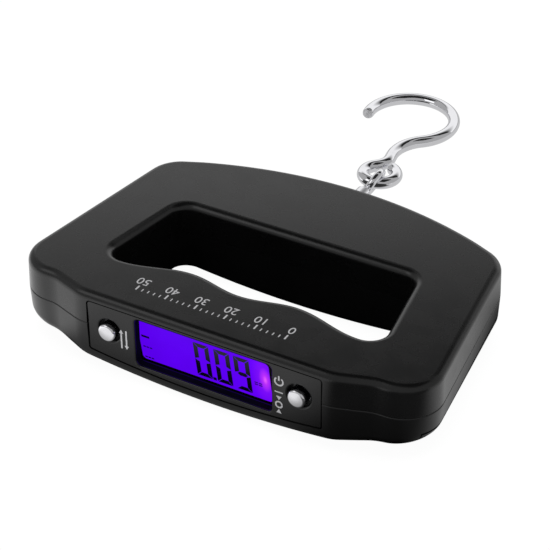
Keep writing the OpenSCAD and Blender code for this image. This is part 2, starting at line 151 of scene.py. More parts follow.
def rounded_loop(corners):
    """Rounds each corner of a closed path."""
    n = len(corners)
    spots = [Vector(c[:2]) for c in corners]
    path = []
    for i, corner in enumerate(corners):
        path += rounded(spots[i - 1], spots[i], spots[(i + 1) % n], corner[2])
    return path


def both_halves(half):
    """Closes a right half, from the front centre to the back centre, by its mirror."""
    return half + [Vector((-p.x, p.y)) for p in reversed(half[1:-1])]


def refined(path, step=2.0):
    """Splits long runs of a closed path."""
    out = []
    for i, a in enumerate(path):
        b = path[(i + 1) % len(path)]
        n = max(1, math.ceil((b - a).length / step))
        out += [a.lerp(b, k / n) for k in range(n)]
    return out


def grown(path, d):
    """The closed path moved outwards by d."""
    out = []
    for i, p in enumerate(path):
        before, after = p - path[i - 1], path[(i + 1) % len(path)] - p
        sides = [Vector((run.y, -run.x)).normalized() for run in (before, after)]
        out.append(p + (sides[0] + sides[1]).normalized() * d)
    return out


def circle(x, y, r, count=64):
    """Points of a circle, none of them on its own axes."""
    turns = [2 * math.pi * (i + 0.5) / count for i in range(count)]
    return [Vector((x + r * math.cos(a), y + r * math.sin(a))) for a in turns]


def back_arc(x):
    """Y of the bowed back edge."""
    return BACK - BACK_R + math.sqrt(BACK_R ** 2 - x ** 2)


def wave(x):
    """The finger-shaped front edge of the window."""
    if x < CREST_X:
        turn = math.pi * x / CREST_X
        return (HOLLOW_Y + CREST_Y) / 2 - (CREST_Y - HOLLOW_Y) / 2 * math.cos(turn)
    turn = math.pi * ((x - CREST_X) / (FINGER_X - CREST_X))
    return (CREST_Y + WINDOW_FRONT_Y) / 2 + (CREST_Y - WINDOW_FRONT_Y) / 2 * math.cos(turn)


body_path = refined(both_halves(rounded_path(
    [
        (0, FRONT, 0),
        (BROW_X, FRONT, BROW_R),
        (SHOULDER_X, SHOULDER_Y, SHOULDER_R),
        (CORNER_X, SHOULDER_Y, FRONT_CORNER_R),
        (BACK_CORNER.x, BACK_CORNER.y, BACK_CORNER_R),
    ]
    + [(x, back_arc(x), 0) for x in range(BACK_ARC_X, -1, -2)]
)))
window_path = refined(both_halves(rounded_path(
    [(x, wave(x), 0) for x in [FINGER_X * i / WAVE_POINTS for i in range(WAVE_POINTS)]]
    + [
        (FINGER_X - 0.5, WINDOW_FRONT_Y, 0),
        (WINDOW_FRONT_X, WINDOW_FRONT_Y, WINDOW_R),
        (WINDOW_BACK_X, WINDOW_BACK_Y, WINDOW_R),
        (0, WINDOW_BACK_Y, 0),
    ]
)))


def bow(x):
    """Height of the panel's lower edge."""
    return PANEL_LOW_Z + PANEL_BOW_R - math.sqrt(PANEL_BOW_R ** 2 - x ** 2)


panel_path = refined(rounded_loop(
    [(-PANEL_HALF, bow(PANEL_HALF), PANEL_FOOT_R)]
    + [(x, bow(x), BOW_SOFT_R) for x in range(-36, 37, 4)]
    + [
        (PANEL_HALF, bow(PANEL_HALF), PANEL_FOOT_R),
        (PANEL_HALF, PANEL_TOP, PANEL_HEAD_R),
        (-PANEL_HALF, PANEL_TOP, PANEL_HEAD_R),
    ]
), 3.0)


def crown(x):
    """Height of the crowned underside; the flat foot is at height 0."""
    return CROWN_R - math.sqrt(CROWN_R ** 2 - x ** 2) - FLAT_CUT


# ---------------------------------------------------------------- mesh tools
def upright(x, y, h):
    """Places an outline's point (x, y) at height h."""
    return Vector((x, y, h))


def facing_front(x, z, y):
    """Places an outline's point (x, z) at depth y."""
    return Vector((x, y, z))


def on_crown(x, y, h):
    """Places an outline's point (x, y) h above the crowned underside."""
    return Vector((x, y, h + crown(x)))


def new_piece(name, bm):
    """An object from a bmesh, which it frees."""
    bmesh.ops.recalc_face_normals(bm, faces=bm.faces)
    mesh = bpy.data.meshes.new(name)
    bm.to_mesh(mesh)
    bm.free()
    piece = bpy.data.objects.new(name, mesh)
    bpy.context.scene.collection.objects.link(piece)
    return piece


def skin(name, rings, closed=False):
    """A solid through rings of points, in millimetres."""
    bm = bmesh.new()
    loops = [[bm.verts.new(p * MM) for p in ring] for ring in rings]
    pairs = list(zip(loops, loops[1:]))
    if closed:
        pairs.append((loops[-1], loops[0]))
    for lower, upper in pairs:
        for i in range(len(lower)):
            bm.faces.new((lower[i - 1], lower[i], upper[i], upper[i - 1]))
    if not closed:
        bm.faces.new(list(reversed(loops[0])))
        bm.faces.new(loops[-1])
    return new_piece(name, bm)


def loft(name, path, levels, place=upright):
    """A solid through levels of one outline, each (growth, height) or (growth, height, place)."""
    rings = []
    for level in levels:
        where = level[2] if len(level) > 2 else place
        rings.append([where(p.x, p.y, level[1]) for p in grown(path, level[0])])
    return skin(name, rings)


def quarter(r, start, end, count=8):
    """Offsets (along, across) of the points of a quarter round of radius r."""
    turns = [start + (end - start) * i / count for i in range(count + 1)]
    return [(r * math.cos(a), r * math.sin(a)) for a in turns]


def bake(piece):
    """Applies the piece's modifiers and merges points that fall together."""
    bpy.context.view_layer.update()
    graph = bpy.context.evaluated_depsgraph_get()
    mesh = bpy.data.meshes.new_from_object(piece.evaluated_get(graph))
    piece.modifiers.clear()
    bm = bmesh.new()
    bm.from_mesh(mesh)
    bmesh.ops.remove_doubles(bm, verts=bm.verts, dist=WELD)
    bm.to_mesh(mesh)
    bm.free()
    piece.data = mesh
    return piece


def combine(piece, tools, operation="DIFFERENCE"):
    """Cuts, joins or crosses the piece with each tool, and removes the tools."""
    for tool in tools:
        modifier = piece.modifiers.new("combine", "BOOLEAN")
        modifier.operation = operation
        modifier.solver = "EXACT"
        modifier.object = tool
    bake(piece)
    for tool in tools:
        bpy.data.objects.remove(tool)
    return piece


def join(name, parts):
    """One piece from several meshes that don't touch."""
    bm = bmesh.new()
    for part in parts:
        bm.from_mesh(part.data)
        bpy.data.objects.remove(part)
    return new_piece(name, bm)


def smooth(piece, degrees=30):
    """Smooth shading with crisp edges and true normals on the flats."""
    piece.data.shade_smooth()
    piece.data.set_sharp_from_angle(angle=math.radians(degrees))
    modifier = piece.modifiers.new("normals", "WEIGHTED_NORMAL")
    modifier.keep_sharp = True
    modifier.weight = 80
    return piece


def dress(piece, finish, body, slot, *stands_for):
    """Gives a piece its finish and body, and hides the CAD nodes it stands for; slot is not used.
    """
    if finish not in list(piece.data.materials):
        piece.data.materials.clear()
        piece.data.materials.append(finish)
    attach(piece, body)
    if stands_for:
        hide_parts(*stands_for)
    return piece


def prism(name, path, low, high, place=upright):
    """A straight solid between two heights."""
    return loft(name, path, [(0, low), (0, high)], place)


def round_mouth(r, end, count):
    """Levels of a hole through the panel's face, from outside, with a mouth rounded to r."""
    turns = [math.pi / 2 * k / count for k in range(count + 1)]
    rim = [(r - r * math.sin(a), PANEL_Y + r - r * math.cos(a)) for a in turns]
    return [(r, PANEL_Y - 1)] + rim + [(0, end)]


# ---------------------------------------------------------------- materials
def shader(name):
    """A new node material with its tree and its Principled BSDF."""
    mat = bpy.data.materials.new(name)
    mat.use_nodes = True
    tree = mat.node_tree
    return mat, tree, tree.nodes["Principled BSDF"]


def add(tree, kind, **values):
    """A new node with the given input values and settings."""
    node = tree.nodes.new(kind)
    for key, value in values.items():
        if key in node.inputs:
            node.inputs[key].default_value = value
        else:
            setattr(node, key, value)
    return node


def noise(tree, size_mm, detail=3.0, stretch=None):
    """Noise whose features are about size_mm across."""
    place = tree.nodes.new("ShaderNodeTexCoord").outputs["Object"]
    field = add(tree, "ShaderNodeTexNoise", Scale=1 / (size_mm * MM), Detail=detail)
    if stretch:
        mapping = add(tree, "ShaderNodeMapping", Scale=stretch)
        tree.links.new(place, mapping.inputs["Vector"])
        place = mapping.outputs["Vector"]
    tree.links.new(place, field.inputs["Vector"])
    return field.outputs["Fac"]


def map_range(tree, value, low, high, result_low, result_high, **settings):
    """Maps one range of values to another."""
    node = add(tree, "ShaderNodeMapRange", **settings)
    limits = {"From Min": low, "From Max": high, "To Min": result_low, "To Max": result_high}
    for key, number in limits.items():
        node.inputs[key].default_value = number
    tree.links.new(value, node.inputs["Value"])
    return node.outputs["Result"]


def spread(tree, value, low, high):
    """Maps noise, which mostly lies from 0.3 to 0.7, to a range."""
    return map_range(tree, value, 0.3, 0.7, low, high)


def tint(tree, value, first, second):
    """A colour between two, by a noise value."""
    mix = add(tree, "ShaderNodeMix", data_type="RGBA")
    ends = {"A": first, "B": second}
    for socket in mix.inputs:
        if socket.type == "RGBA":
            socket.default_value = (*ends[socket.name], 1)
    tree.links.new(value, mix.inputs["Factor"])
    return next(s for s in mix.outputs if s.type == "RGBA")


def surface(name, first, second, rough, rough_range=0.05, metal=0.0, patch=12.0, grain=0.0,
            grain_mm=0.3, coat=0.0, stretch=None):
    """A procedural finish: two close colours in patches, uneven gloss and a fine grain."""
    mat, tree, bsdf = shader(name)
    patches = noise(tree, patch, stretch=stretch)
    colour = tint(tree, spread(tree, patches, 0, 1), first, second)
    tree.links.new(colour, bsdf.inputs["Base Color"])
    gloss = noise(tree, patch / 3, detail=6.0, stretch=stretch)
    uneven = spread(tree, gloss, rough - rough_range, rough + rough_range)
    tree.links.new(uneven, bsdf.inputs["Roughness"])
    bsdf.inputs["Metallic"].default_value = metal
    bsdf.inputs["Coat Weight"].default_value = coat
    bsdf.inputs["Coat Roughness"].default_value = 0.08
    if grain:
        bump = add(tree, "ShaderNodeBump", Strength=grain, Distance=0.02 * MM)
        tree.links.new(noise(tree, grain_mm, detail=4.0, stretch=stretch), bump.inputs["Height"])
        tree.links.new(bump.outputs["Normal"], bsdf.inputs["Normal"])
    return mat


def grey(v):
    """A slightly cool grey."""
    return (v, v, v * 1.03)


shell_black = surface("satin_black_abs", grey(0.004), grey(0.007), 0.27, 0.03,
                      patch=25, grain=0.35, grain_mm=0.25)
rear_black = surface("rear_black_abs", grey(0.005), grey(0.008), 0.3, 0.03,
                     patch=25, grain=0.35, grain_mm=0.25)
panel_black = surface("panel_black_abs", grey(0.004), grey(0.007), 0.25, 0.03,
                      patch=18, grain=0.25, grain_mm=0.2)
chrome = surface("polished_chrome", grey(0.80), grey(0.86), 0.045, 0.02,
                 metal=1.0, patch=6, grain=0.02, grain_mm=1.5)
cap_chrome = surface("cap_chrome", grey(0.86), grey(0.92), 0.1, 0.03,
                     metal=1.0, patch=4, grain=0.03, grain_mm=0.4)
white_ink = surface("white_ink", grey(0.78), grey(0.86), 0.5, 0.08,
                    patch=1.5, grain=0.2, grain_mm=0.12)
segment_black = surface("segment_black", (0.004, 0.002, 0.02), (0.006, 0.003, 0.03), 0.3, patch=2)
ghost_violet = surface("ghost_violet", (0.05, 0.0, 0.4), (0.06, 0.0, 0.45), 0.4, patch=1)
# The printed black border of the glass; the same darker, dull black is also painted shade on the
# walls of the display's opening.
mask_and_shade_black = surface("mask_and_shade_black", grey(0.002), grey(0.004), 0.7, patch=3, grain=0.1)
mask_and_shade_black.node_tree.nodes["Principled BSDF"].inputs["Specular IOR Level"].default_value = 0.06
# A lighter, rougher grey for the hook's tip: painted highlight that stands in for what the tip
# reflects.
tip_highlight_metal = surface("painted_highlight_tip", grey(0.72), grey(0.8), 0.45, 0.08,
                   metal=0.25, patch=1, grain=0.2, grain_mm=0.2)

SLOT_FINISH = {
    "screw_steel": surface("zinc_steel", grey(0.42), grey(0.5), 0.32, 0.08,
                           metal=1, patch=1, grain=0.3, grain_mm=0.2),
    "guide": surface("acrylic_guide", (0.75, 0.72, 0.95), (0.8, 0.78, 0.96), 0.2,
                     patch=5, grain=0.1),
    "led": surface("led_package", grey(0.8), grey(0.9), 0.4, patch=0.5, grain=0.1),
    "zebra": surface("zebra_strip", (0.5, 0.1, 0.15), (0.03, 0.03, 0.03), 0.6,
                     patch=0.4, stretch=(1, 0.05, 0.05)),
    "board": surface("solder_mask", (0.01, 0.12, 0.04), (0.02, 0.17, 0.07), 0.35,
                     patch=2, grain=0.4, grain_mm=0.5),
    "epoxy": surface("epoxy_blob", grey(0.006), grey(0.012), 0.2,
                     patch=2, grain=0.3, grain_mm=1.5),
    "plunger": surface("black_nylon", grey(0.015), grey(0.025), 0.5, patch=1, grain=0.2),
    "switch_body": surface("switch_housing", grey(0.05), grey(0.07), 0.5, patch=1, grain=0.3),
    "cell_alloy": surface("milled_aluminium", grey(0.62), grey(0.7), 0.3, 0.08,
                          metal=1, patch=3, grain=0.5, grain_mm=0.3, stretch=(0.1, 1, 1)),
    "gauge_foil": surface("gauge_foil", (0.6, 0.32, 0.1), (0.7, 0.42, 0.18), 0.35,
                          metal=0.6, patch=0.5),
    "cable_grey": surface("grey_pvc", grey(0.5), grey(0.58), 0.5, patch=2, grain=0.3),
    "plated_steel": chrome,
    "battery_wrap": surface("battery_film", (0.03, 0.12, 0.36), (0.05, 0.17, 0.45), 0.25,
                            patch=6, coat=0.4),
    "spring_steel": surface("spring_steel", grey(0.55), grey(0.65), 0.25, 0.06,
                            metal=1, patch=1, grain=0.2),
    "lead_red": surface("red_pvc", (0.42, 0.02, 0.015), (0.52, 0.03, 0.02), 0.45,
                        patch=2, grain=0.2),
    "lead_black": surface("black_pvc", grey(0.01), grey(0.016), 0.45, patch=2, grain=0.2),
    "lead_yellow": surface("yellow_pvc", (0.7, 0.45, 0.04), (0.78, 0.52, 0.06), 0.45,
                           patch=2, grain=0.2),
}


def lit_glass():
    """Display glass lit blue-violet from behind, with a pink hot spot at its right end."""
    mat, tree, bsdf = shader("lit_display")
    spot = Vector((VIEW_HALF - 4.6, 0, VIEW_Z - 1.6)) * MM
    place = tree.nodes.new("ShaderNodeTexCoord")
    offset = add(tree, "ShaderNodeVectorMath", operation="SUBTRACT")
    offset.inputs[1].default_value = spot
    squeeze = add(tree, "ShaderNodeVectorMath", operation="MULTIPLY")
    squeeze.inputs[1].default_value = (1, 0, 0.42)
    length = add(tree, "ShaderNodeVectorMath", operation="LENGTH")
    tree.links.new(place.outputs["Object"], offset.inputs[0])
    tree.links.new(offset.outputs["Vector"], squeeze.inputs[0])
    tree.links.new(squeeze.outputs["Vector"], length.inputs[0])
    ramp = tree.nodes.new("ShaderNodeValToRGB")
    reach = map_range(tree, length.outputs["Value"], 0, 7.5 * MM, 0, 1)
    tree.links.new(reach, ramp.inputs["Fac"])
    stops = ((0.0, (0.85, 0.12, 1.0)), (0.1, (0.5, 0.03, 0.98)), (0.28, (0.2, 0.004, 0.94)),
             (0.6, (0.13, 0.0, 0.92)), (1.0, (0.105, 0.0, 0.86)))
    while len(ramp.color_ramp.elements) < len(stops):
        ramp.color_ramp.elements.new(0.5)
    for element, (at, colour) in zip(ramp.color_ramp.elements, stops):
        element.position = at
        element.color = (*colour, 1)
    ripple = spread(tree, noise(tree, 9), 0.94, 1.05)
    bsdf.inputs["Base Color"].default_value = (0.01, 0.0, 0.05, 1)
    bsdf.inputs["Roughness"].default_value = 0.5
    bsdf.inputs["Specular IOR Level"].default_value = 0.03
    tree.links.new(ramp.outputs["Color"], bsdf.inputs["Emission Color"])
    tree.links.new(ripple, bsdf.inputs["Emission Strength"])
    return mat


# ---------------------------------------------------------------- shells
GROOVE = 0.22                   # half of the gap left round a piece set in the shells
top_round = quarter(EDGE_R, 0, math.pi / 2, 10)


def panel_cutter(grow):
    """The opening for the display panel, with a small chamfer at its mouth."""
    mouth = FRONT - 1
    return loft("panel_cut", panel_path, [
        (grow + 0.12, mouth), (grow + 0.12, PANEL_Y - 0.1), (grow, PANEL_Y + 0.35),
        (grow, PANEL_Y + PANEL_T + 0.2),
    ], facing_front)


def window_cutter():
    """The window, with rounded rims above and below."""
    low = [(EDGE_R + 0.5, -4)] + [
        (EDGE_R - EDGE_R * math.sin(a), EDGE_R - EDGE_R * math.cos(a))
        for a in [math.radians(10 * k) for k in range(10)]
    ]
    levels = [(g, z, on_crown) for g, z in low]
    levels += [(EDGE_R - along, TOP - EDGE_R + across) for along, across in top_round]
    levels.append((EDGE_R + 0.01, TOP + 3))
    return loft("window_cut", window_path, levels)


def bolt_hole():
    """The bore for the eye bolt, through the back wall, with a small chamfer outside."""
    levels = [(0, BACK - 19), (0, BACK - 1), (0.5, BACK + 0.6), (0.5, BACK + 3)]
    return loft("bolt_cut", circle(0, AXIS_Z, 3.1), levels, facing_front)


def screw_posts(name, r, count, low, high):
    """Upright cylinders at the four case screws."""
    return [
        prism(name, circle(side * x, y, r, count), low, high)
        for x, y in SCREW_SPOTS for side in (-1, 1)
    ]


def above_floor(name, margin):
    """Everything above the inner face of the crowned underside."""
    reach, top = 76, 60
    profile = [Vector((x, max(0.0, crown(x)) + WALL)) for x in range(-reach, reach + 1, 2)]
    profile += [Vector((reach, top)), Vector((-reach, top))]
    return prism(name, profile, FRONT - margin, BACK + margin, facing_front)


def cavity(low, high):
    """The room between the outer wall and the window's wall."""
    outer = prism("cavity", grown(body_path, -WALL - DRAFT), low, high)
    return combine(outer, [prism("core", grown(window_path, WALL), low - 8, high + 8)])


def front_cover():
    """The upper shell: hollow, with four screw posts, the window and the panel's opening."""
    levels = [(grow, SEAM + rise) for grow, rise in SEAM_LIP]
    levels += [
        (-DRAFT - EDGE_R + along, TOP - EDGE_R + across) for along, across in top_round
    ]
    cover = loft("front_cover", body_path, levels)
    room = combine(cavity(SEAM - 2, TOP - WALL), screw_posts("boss", 2.8, 32, SEAM - 3, TOP))
    combine(cover, [room, window_cutter(), panel_cutter(GROOVE), bolt_hole()])
    return smooth(cover)


def underside():
    """Everything above the crowned underside and its flat foot."""
    reach = int(SIDE) + 8
    profile = [Vector((x, max(0.0, crown(x)))) for x in range(-reach, reach + 1)]
    profile += [Vector((reach, SEAM + CLEAR)), Vector((-reach, SEAM + CLEAR))]
    return prism("underside", profile, FRONT - CLEAR, BACK + CLEAR, facing_front)


def body_below_seam(name):
    """The lower half of the body as one solid: a rounded lower edge that follows the crown."""
    inset, reach, rise = 0.25, 3.35, 3.4
    levels = [(-inset - reach, -4.5)]
    levels += [
        (-inset - reach * (1 - math.sin(a)), -0.3 + rise * (1 - math.cos(a)), on_crown)
        for a in [math.radians(10 * k) for k in range(10)]
    ]
    levels += [(grow, SEAM - drop) for grow, drop in reversed(SEAM_LIP)]
    return combine(loft(name, body_path, levels), [underside()], "INTERSECT")


def door_prism(name, side, grow, top):
    """The battery door's place in the side bar."""
    reach = SIDE + 10
    low_y, high_y = DOOR_EDGE[0][1] - grow, DOOR_EDGE[1][1] + grow
    corners = [
        Vector((DOOR_EDGE[0][0] - grow, low_y)), Vector((reach, low_y)),
        Vector((reach, high_y)), Vector((DOOR_EDGE[1][0] - grow, high_y)),
    ]
    path = [Vector((side * p.x, p.y)) for p in corners]
    return prism(name, path, -6, top)


def rear_cover():
    """The lower shell: hollow, with four screw posts, their deep holes and the doors' places."""
    cover = body_below_seam("rear_cover")
    room = combine(cavity(-6, SEAM + 2), [above_floor("room_floor", CLEAR)], "INTERSECT")
    combine(room, screw_posts("boss", 4.2, 48, 1, SEAM))
    tools = [room, window_cutter(), panel_cutter(GROOVE), bolt_hole()]
    for side in (-1, 1):
        tools.append(door_prism("door_cut", side, DOOR_GAP, DOOR_Z + DOOR_GAP))
        for x, y in SCREW_SPOTS:
            tools.append(prism("screw_cut", circle(side * x, y, 2.8, 40), -3, 9.5))
            tools.append(prism("screw_bore", circle(side * x, y, 1.6, 24), 9, SEAM + 3))
    combine(cover, tools)
    return smooth(cover)


def battery_door(name, side):
    """A battery door with a hollow for its cell; side is 1 for the right one."""
    kept = door_prism("door_keep", side, -0.1, DOOR_Z - DOOR_GAP)
    door = combine(body_below_seam(name), [kept], "INTERSECT")
    inner = [(52.5, MID - 33.5), (61.3, MID - 33.5), (54.9, MID + 21.8), (45.8, MID + 21.8)]
    bay = prism("bay", [Vector((side * x, y)) for x, y in inner], -6, 60)
    hollow = combine(above_floor("hollow", 0), [bay], "INTERSECT")
    return smooth(combine(door, [hollow]))


def panel_face():
    """The display panel's face: black inside its opening, so that no light shows there."""
    front = loft("panel_face", panel_path, [
        (-0.3, PANEL_Y), (-0.1, PANEL_Y + 0.05), (0, PANEL_Y + 0.25), (0, PANEL_Y + PANEL_T),
    ], facing_front)
    low, high = VIEW_Z - VIEW_HALF_H, VIEW_Z + VIEW_HALF_H
    view = rounded_loop([
        (-VIEW_HALF, low, VIEW_CORNER_R), (VIEW_HALF, low, VIEW_CORNER_R),
        (VIEW_HALF, high, VIEW_CORNER_R), (-VIEW_HALF, high, VIEW_CORNER_R),
    ])
    beyond = PANEL_Y + PANEL_T + 1
    tools = [loft("view_cut", refined(view, 3), round_mouth(LIP, beyond, 6), facing_front)]
    for x in (-BUTTON_X, BUTTON_X):
        dish, bore = circle(x, BUTTON_Z, DISH_R), circle(x, BUTTON_Z, CAP_R + 0.12)
        tools.append(loft("dish_cut", dish, round_mouth(LIP, PANEL_Y + 2.2, 6), facing_front))
        tools.append(prism("bore_cut", bore, PANEL_Y - 1, beyond, facing_front))
    combine(front, tools)
    front.data.materials.clear()
    front.data.materials.append(panel_black)
    # The walls inside the display's opening get the mask's darker, dull black: painted shade that
    # keeps the lit glass from showing in them.
    front.data.materials.append(mask_and_shade_black)
    for face in front.data.polygons:
        middle = face.center / MM
        across, up = abs(middle.x) - VIEW_HALF, abs(middle.z - VIEW_Z) - VIEW_HALF_H
        behind = middle.y > PANEL_Y + LIP - 0.05
        face.material_index = int(behind and across < 0.1 and up < 0.1)
    return smooth(front)


def button_cap(name, x):
    """A chrome cap with a slightly domed face and a rounded edge."""
    face, edge, dome, flange = cap_low.y, 0.75, 0.16, 1
    back = cap_high.y - 0.8
    levels = [(-CAP_R + 0.02, face)]
    levels += [
        (-CAP_R + share * (CAP_R - edge), face + dome * share ** 2)
        for share in (0.25, 0.5, 0.75, 1.0)
    ]
    levels += [
        (-edge + along, face + dome + edge - across)
        for along, across in quarter(edge, math.pi / 2, 0, 6)[1:]
    ]
    levels += [(0, back), (flange, back), (flange, cap_high.y)]
    return smooth(loft(name, circle(x, BUTTON_Z, CAP_R, 72), levels, facing_front), 40)


# ---------------------------------------------------------------- hook and ring bolt
def tube(name, centre, radii, sides=28, closed=False):
    """A round wire along a flat run of points."""
    rings = []
    n = len(centre)
    for i, p in enumerate(centre):
        if closed:
            way = centre[(i + 1) % n] - centre[i - 1]
        else:
            way = centre[min(i + 1, n - 1)] - centre[max(i - 1, 0)]
        way = Vector((way.x, way.y, 0)).normalized()
        across = way.cross(Vector((0, 0, 1)))
        rings.append([
            p + (across * math.cos(a) + Vector((0, 0, math.sin(a)))) * radii[i]
            for a in [2 * math.pi * k / sides for k in range(sides)]
        ])
    return skin(name, rings, closed)


def hook_line():
    """The hook's centreline in its own frame: eye at the origin, bowl along +Y."""
    sweep, lead, tip = math.radians(60), math.radians(120), math.radians(178)
    neck_r = (BOWL_R * math.cos(sweep) - NECK_X) / (1 - math.cos(sweep))
    neck_y = HOOK_LENGTH - (BOWL_R + neck_r) * math.sin(sweep)
    lead_r = (NECK_X - EYE_R * math.cos(lead)) / (1 + math.cos(lead))
    lead_y = (lead_r + EYE_R) * math.sin(lead)
    line = [Vector((BOWL_R * math.cos(tip), HOOK_LENGTH + BOWL_R * math.sin(tip)))]
    line += arc((0, HOOK_LENGTH), BOWL_R, tip, -sweep)
    line += arc((NECK_X + neck_r, neck_y), neck_r, math.pi - sweep, math.pi)
    line.append(Vector((NECK_X, lead_y)))
    line += arc((NECK_X - lead_r, lead_y), lead_r, 0, lead - math.pi)
    line += arc((0, 0), EYE_R, lead, EYE_END)
    return line


def wire_hook():
    """The hook: a rounded tip in a lighter, rougher grey metal that is painted highlight, and a
    blunter end at the eye.
    """
    line = hook_line()
    tip_way = (line[0] - line[1]).normalized()
    end_way = (line[-1] - line[-2]).normalized()
    soft = [math.radians(a) for a in (84, 66, 48, 32, 16)]
    start = [line[0] + tip_way * HOOK_R * math.sin(a) for a in soft]
    blunt = 0.6
    end = [line[-1] + end_way * blunt * math.sin(a) for a in reversed(soft)]
    flat = start + line + end
    radii = [HOOK_R * math.cos(a) for a in soft] + [HOOK_R] * len(line)
    radii += [HOOK_R - blunt + blunt * math.cos(a) for a in reversed(soft)]
    turn = Matrix.Rotation(HOOK_REST, 2)
    centre = []
    for p in flat:
        q = EYE + turn @ p
        centre.append(Vector((q.x, q.y, AXIS_Z)))
    wire = tube("wire_hook", centre, radii)
    wire.data.materials.append(chrome)
    wire.data.materials.append(tip_highlight_metal)
    # The faces of the rounded tip get the lighter grey: a painted highlight.
    tip, highlight_reach = centre[0] * MM, 1.05 * HOOK_R * MM
    for face in wire.data.polygons:
        face.material_index = int((face.center - tip).length < highlight_reach)
    return smooth(wire, 50)


def ring_bolt():
    """The eye bolt: a ring of bent wire, tilted, on a plain shank."""
    count = 72
    turns = [2 * math.pi * k / count for k in range(count)]
    flat = [Vector((RING_R * math.cos(a), RING_R * math.sin(a), 0)) for a in turns]
    ring = tube("ring_bolt", flat, [RING_WIRE_R] * count, 24, True)
    lift = Matrix.Translation(Vector((0, RING_Y, AXIS_Z)) * MM)
    ring.data.transform(lift @ Matrix.Rotation(math.pi / 2 + RING_TILT, 4, "Y"))
    end = RING_Y - RING_R - RING_WIRE_R
    shank = loft("shank", circle(0, AXIS_Z, SHANK_R, 48), [
        (-0.4, ring_low.y), (0, ring_low.y + 0.4), (0, end - 2.2), (-0.15, end - 1.9),
        (-0.9, end - 0.2), (-1.15, end + 1.2),
    ], facing_front)
    return smooth(combine(ring, [shank], "UNION"), 40)


# ---------------------------------------------------------------- display, print and icons
TILT = math.radians(10)         # lean of the glass
GLASS_HALF, GLASS_LOW_Z, GLASS_T = 25, 2.7, 2.2
LIT_X, LIT_LOW_Z, LIT_TOP_Z = (-24.0, 19.6), 3.7, 18.9  # the lit part inside the black border
LIT_CORNER_R = 1.3
INK = 0.05                      # thickness of printed marks
DIGIT_WIDTH, DIGIT_HEIGHT, STROKE = 5.1, 13.0, 1.45


def flat_piece(name, outlines, place, depth=INK):
    """Thin raised marks from closed outlines of (u, v) points."""
    marks = []
    for outline in outlines:
        marks.append(skin("mark", [
            [place(u, v, 0) for u, v in outline],
            [place(u, v, depth) for u, v in outline],
        ]))
    return join(name, marks)


def on_glass(u, v, out):
    """A point on the leaning glass: u across, v up from its upper edge, out to the viewer."""
    lift = 0.04 + out
    y = glass_low.y - v * math.sin(TILT) - lift * math.cos(TILT)
    z = glass_high.z + v * math.cos(TILT) - lift * math.sin(TILT)
    return Vector((u, y, z))


def glass_v(z):
    """The glass's own v at height z."""
    return (z - glass_high.z) / math.cos(TILT)


def glass_bar(x, z, w, h):
    """A small block on the glass, from its lower left corner."""
    return [(x, glass_v(z)), (x + w, glass_v(z)), (x + w, glass_v(z + h)), (x, glass_v(z + h))]


def segments(shown, x, z, w, h, t):
    """Outlines of a seven-segment digit: x, z is its lower left corner."""
    gap = 0.14
    half = h / 2

    def placed(points):
        return [(x + u, glass_v(z + v)) for u, v in points]

    shapes = {
        "a": [(gap, h), (w - gap, h), (w - gap - t, h - t), (gap + t, h - t)],
        "d": [(gap + t, t), (w - gap - t, t), (w - gap, 0), (gap, 0)],
        "g": [(gap + t / 2, half), (t + gap, half + t / 2), (w - t - gap, half + t / 2),
              (w - gap - t / 2, half), (w - t - gap, half - t / 2), (t + gap, half - t / 2)],
        "f": [(0, h - gap), (t, h - t - gap), (t, half + t / 2 + gap / 2), (0, half + gap)],
        "e": [(0, half - gap), (t, half - t / 2 - gap / 2), (t, t + gap), (0, gap)],
        "b": [(w - t, h - t - gap), (w, h - gap), (w, half + gap),
              (w - t, half + t / 2 + gap / 2)],
        "c": [(w - t, half - t / 2 - gap / 2), (w, half - gap), (w, gap), (w - t, t + gap)],
    }
    return [placed(shapes[s]) for s in shown]


def display_marks():
    """The digits 0.09, their point and the mark of the unit."""
    low = LIT_LOW_Z + 1.1
    outlines = []
    for x, shown in ((-5.2, "abcdef"), (1.6, "abcdef"), (8.0, "abcdfg")):
        outlines += segments(shown, x, low, DIGIT_WIDTH, DIGIT_HEIGHT, STROKE)
    outlines.append(glass_bar(0.1, low, 1.1, 1.1))
    outlines.append(glass_bar(-23.2, LIT_LOW_Z + 9.0, 2.7, 0.75))
    return flat_piece("display_digits", outlines, on_glass)


def ghost_marks():
    """Unlit marks that show faintly in the glass."""
    outlines = [
        glass_bar(-23.2 + 1.1 * k, LIT_LOW_Z + z, 0.85, 0.5) for z in (4.9, 0.7) for k in range(3)
    ]
    outlines += [
        glass_bar(14.2 + 1.4 * k, LIT_LOW_Z + z, 1.1, 0.45) for z in (6.0, 5.2) for k in range(2)
    ]
    return flat_piece("display_ghosts", outlines, on_glass, 0.02)


def display_glass():
    """The lit glass, a little taller than its visible part."""
    low = glass_v(GLASS_LOW_Z)
    corners = [(-GLASS_HALF, low), (GLASS_HALF, low), (GLASS_HALF, 0), (-GLASS_HALF, 0)]
    rings = [[on_glass(u, v, -depth) for u, v in corners] for depth in (0.04, GLASS_T)]
    return skin("display_glass", rings)


def display_mask():
    """The black printed border round the lit part of the glass."""
    def block(left, right, low, high, r):
        return rounded_loop([(left, low, r), (right, low, r), (right, high, r), (left, high, r)])

    def solid(name, outline, first, last):
        return skin(name, [[on_glass(p.x, p.y, d) for p in outline] for d in (first, last)])

    reach = GLASS_HALF + 0.2
    outer = block(-reach, reach, glass_v(GLASS_LOW_Z) - 0.1, 0.1, 1)
    inner = block(*LIT_X, glass_v(LIT_LOW_Z), glass_v(LIT_TOP_Z), LIT_CORNER_R)
    return smooth(combine(solid("display_mask", outer, -0.02, 0.03), [solid("core", inner, -1, 1)]))


